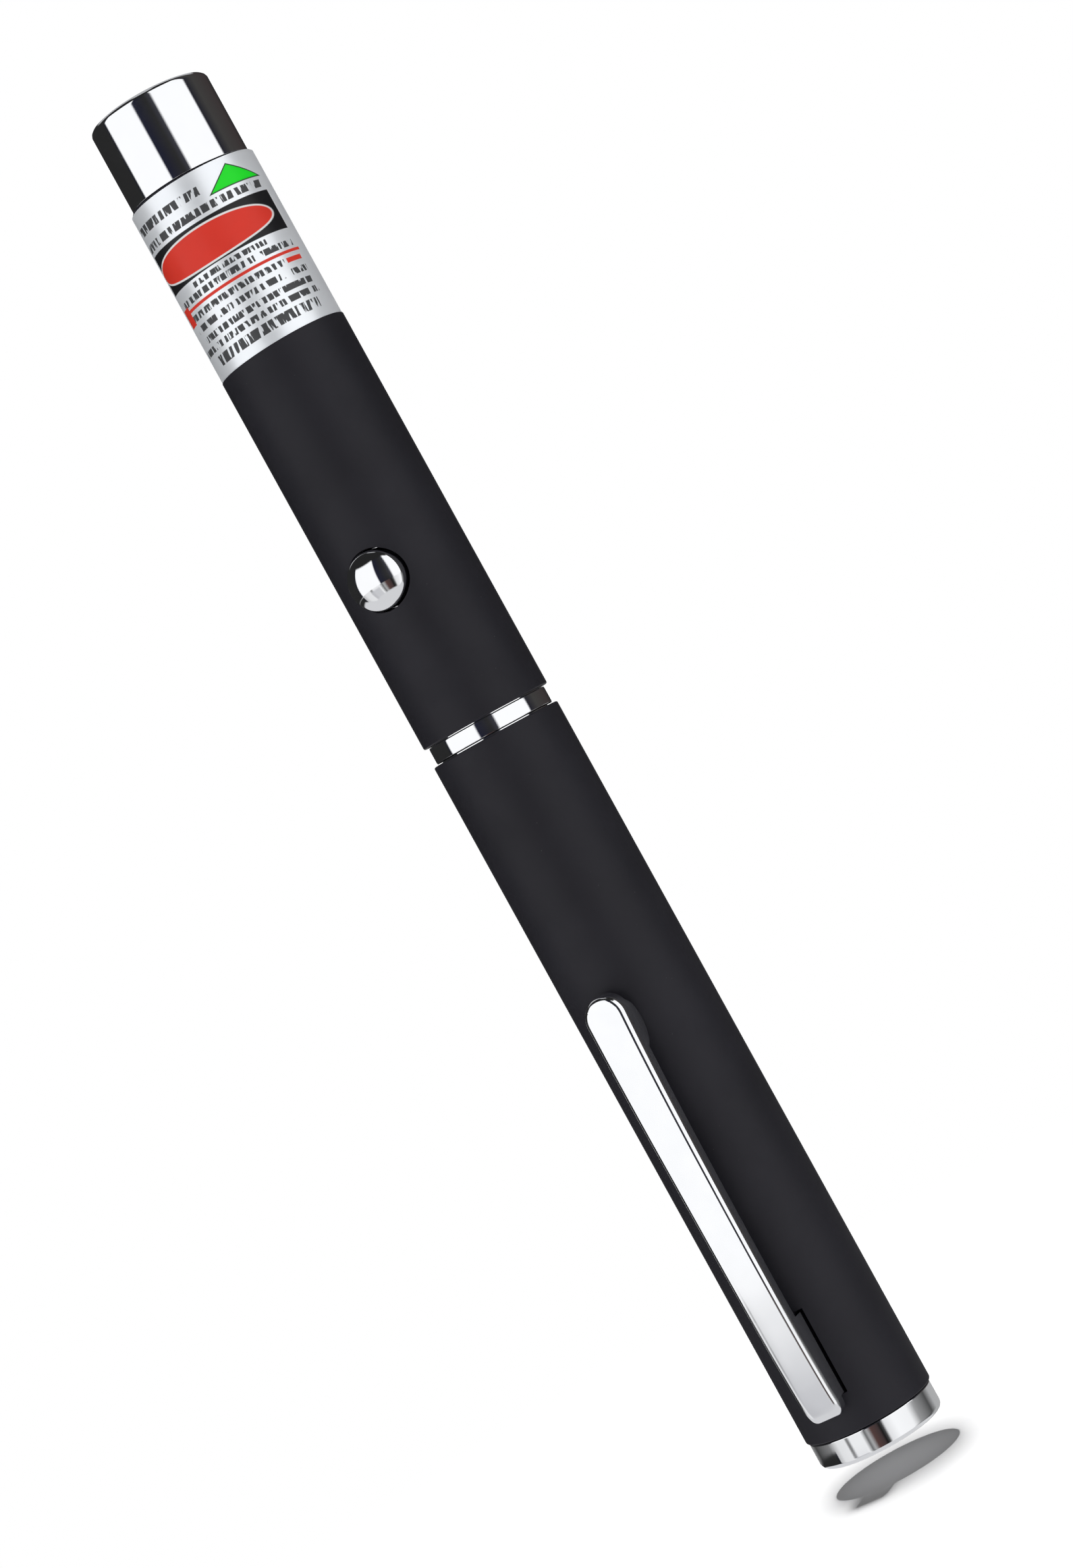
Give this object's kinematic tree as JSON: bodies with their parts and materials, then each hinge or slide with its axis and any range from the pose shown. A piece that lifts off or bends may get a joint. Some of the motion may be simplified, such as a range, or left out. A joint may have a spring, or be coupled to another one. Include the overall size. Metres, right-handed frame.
{
  "type": "laser pointer pen",
  "caption": "Pen-shaped laser pointer: two black barrels with chrome nose, ring, push button, pocket clip and tail cap, a silver label band, and its cells, board and laser module inside.",
  "frame": {"origin": "centre of the flat tail face, on the pen's axis", "axes": "+Z along the pen's axis from tail to nose, -Y is the side of the clip and the button, +X to the right when that side faces the viewer"},
  "size_m": [0.014, 0.0174, 0.1517],
  "materials": {
    "chrome": "polished chrome plate on turned or stamped brass, mirror bright",
    "barrel_black": "smooth satin black coat on a drawn tube",
    "label_foil": "silver foil label, printed with plain coloured marks",
    "spring_steel": "plain spring steel",
    "cell_core": null,
    "cell_cap": "nickel-plated steel cap of a AAA cell",
    "cell_wrap": "plain dark blue shrink wrap",
    "brass": "plain turned brass",
    "aluminium": "plain turned aluminium",
    "gold_plate": "gold-plated diode can",
    "lens_glass": "clear optical glass",
    "filter_glass": "pale green infrared filter glass",
    "crystal": "bonded doubling crystal, pale violet",
    "board_laminate": "green board laminate",
    "black_plastic": "black moulded plastic",
    "white_plastic": "off-white moulded plastic",
    "ceramic": "tan capacitor ceramic"
  },
  "bodies": {
    "rear": {"rear_barrel": "barrel_black", "tail_cap": "chrome", "tail_spring": "spring_steel"},
    "clip": {"pocket_clip": "chrome"},
    "cells": {"rear_cell_can": "cell_core", "rear_cell_cap": "cell_cap", "rear_cell_wrap": "cell_wrap", "front_cell_can": "cell_core", "front_cell_cap": "cell_cap", "front_cell_wrap": "cell_wrap"},
    "front": {"coupling_ring": "chrome", "front_barrel": "barrel_black", "label_sleeve": "label_foil", "nose_cap": "chrome", "aperture_window": "filter_glass", "collimating_lens": "lens_glass", "lens_barrel": "aluminium", "lens_retainer": "brass", "lens_spring": "spring_steel", "module_housing": "brass", "crystal_mount": "brass", "laser_crystal": "crystal", "expander_lens": "lens_glass", "laser_diode": "gold_plate", "diode_mount": "aluminium", "diode_retainer": "brass", "driver_board": "board_laminate", "board_cradle": "black_plastic", "contact_spring": "spring_steel", "switch_body": "black_plastic", "switch_cover": "spring_steel", "driver_chip": "black_plastic", "drive_transistor": "black_plastic", "smoothing_capacitor": "ceramic", "trimmer_base": "white_plastic"},
    "button": {"button_cap": "chrome", "switch_plunger": "white_plastic"},
    "trimmer": {"trimmer_rotor": "brass"}
  },
  "joints": [
    {"name": "cell_lift", "type": "slide", "parent": "rear", "child": "cells", "axis": [0, 0, 1], "range_m": [0, 0.005], "deforming": ["tail_spring"]},
    {"name": "front_turn", "type": "hinge", "parent": "cells", "child": "front", "pos_m": [0, 0, 0.0799], "axis": [0, 0, 1], "range_deg": [0, 1800]},
    {"name": "button_press", "type": "slide", "parent": "front", "child": "button", "axis": [0, 1, 0], "range_m": [0, 0.0005], "stiffness_N_per_m": 1500, "springref_m": -0.0003},
    {"name": "clip_flex", "type": "hinge", "parent": "rear", "child": "clip", "pos_m": [0, -0.007, 0.01155], "axis": [1, 0, 0], "range_deg": [0, 4], "stiffness_Nm_per_rad": 1},
    {"name": "trimmer_turn", "type": "hinge", "parent": "front", "child": "trimmer", "pos_m": [0, 0, 0.10315], "axis": [0, 1, 0], "range_deg": [-135, 135]}
  ],
  "couplings": [
    {"joint": "front_turn", "follows": "cell_lift", "rad_per_m": 6283.2}
  ]
}
